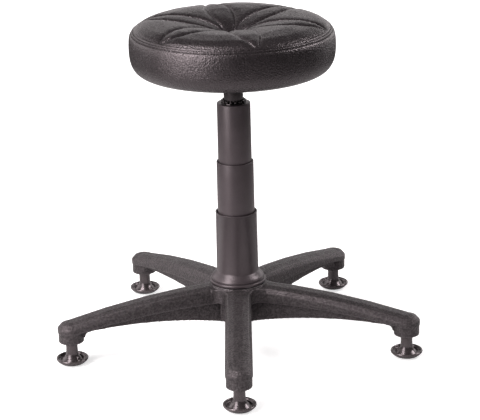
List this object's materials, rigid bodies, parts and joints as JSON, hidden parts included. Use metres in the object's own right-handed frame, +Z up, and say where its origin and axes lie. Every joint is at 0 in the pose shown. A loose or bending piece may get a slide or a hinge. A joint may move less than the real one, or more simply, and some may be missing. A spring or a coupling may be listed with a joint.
{
  "type": "machinist stool",
  "caption": "Round tufted swivel stool on a gas lift with telescopic cover, release lever and star base on glides.",
  "frame": {"origin": "on the floor, on the axis of the column and the seat's swivel", "axes": "+Z up, -Y towards the front, along the front arm; +X to the right seen from the front"},
  "size_m": [0.5892, 0.5627, 0.541],
  "materials": {
    "base_nylon": "finely textured moulded nylon",
    "glide_plastic": "smooth moulded plastic",
    "stem_steel": "zinc plated",
    "column_steel": "black paint",
    "bush_plastic": "natural acetal",
    "bearing_steel": "ground",
    "rod_chrome": "hard chrome",
    "stop_rubber": "moulded rubber",
    "tube_black": "gloss black",
    "cover_plastic": "satin moulded plastic",
    "crown_plastic": "moulded plastic",
    "plate_steel": "black powder coat",
    "screw_steel": "zinc plated",
    "pin_steel": "zinc plated",
    "lever_steel": "black paint",
    "paddle_plastic": "moulded plastic",
    "button_steel": "ground",
    "board_plywood": "raw plywood",
    "foam": "moulded polyurethane foam",
    "seat_vinyl": "grained upholstery vinyl",
    "dust_cloth": "non-woven cloth"
  },
  "bodies": {
    "base": {"base_star": "base_nylon", "glides": "glide_plastic", "glide_stems": "stem_steel", "column_tube": "column_steel", "column_bush": "bush_plastic", "thrust_bearing": "bearing_steel", "cover_lower": "cover_plastic"},
    "rod": {"piston_rod": "rod_chrome", "bump_stop": "stop_rubber"},
    "seat": {"pressure_tube": "tube_black", "cover_upper": "cover_plastic", "crown_ring": "crown_plastic", "seat_plate": "plate_steel", "plate_screws": "screw_steel", "lever_pin": "pin_steel", "seat_board": "board_plywood", "foam_pad": "foam", "seat_cover": "seat_vinyl", "dust_cloth": "dust_cloth"},
    "cover_slider": {"cover_middle": "cover_plastic"},
    "lever": {"lever_rod": "lever_steel", "lever_paddle": "paddle_plastic"},
    "button": {"release_button": "button_steel"}
  },
  "joints": [
    {"name": "seat_swivel", "type": "hinge", "parent": "base", "child": "rod", "pos_m": [0, 0, 0.05], "axis": [0, 0, 1], "continuous": true},
    {"name": "seat_height", "type": "slide", "parent": "rod", "child": "seat", "axis": [0, 0, 1], "range_m": [-0.12, 0.005]},
    {"name": "cover_slide", "type": "slide", "parent": "base", "child": "cover_slider", "axis": [0, 0, 1], "range_m": [-0.06, 0.0025]},
    {"name": "lever_pivot", "type": "hinge", "parent": "seat", "child": "lever", "pos_m": [0, 0.032, 0.4528], "axis": [1, 0, 0], "range_deg": [0, 4], "stiffness_Nm_per_rad": 1, "springref_deg": -5.73},
    {"name": "button_push", "type": "slide", "parent": "seat", "child": "button", "axis": [0, 0, -1], "range_m": [0, 0.0023], "stiffness_N_per_m": 300, "springref_m": -0.001}
  ],
  "couplings": [
    {"joint": "cover_slide", "follows": "seat_height", "ratio": 0.5},
    {"joint": "button_push", "follows": "lever_pivot", "m_per_rad": 0.032}
  ]
}
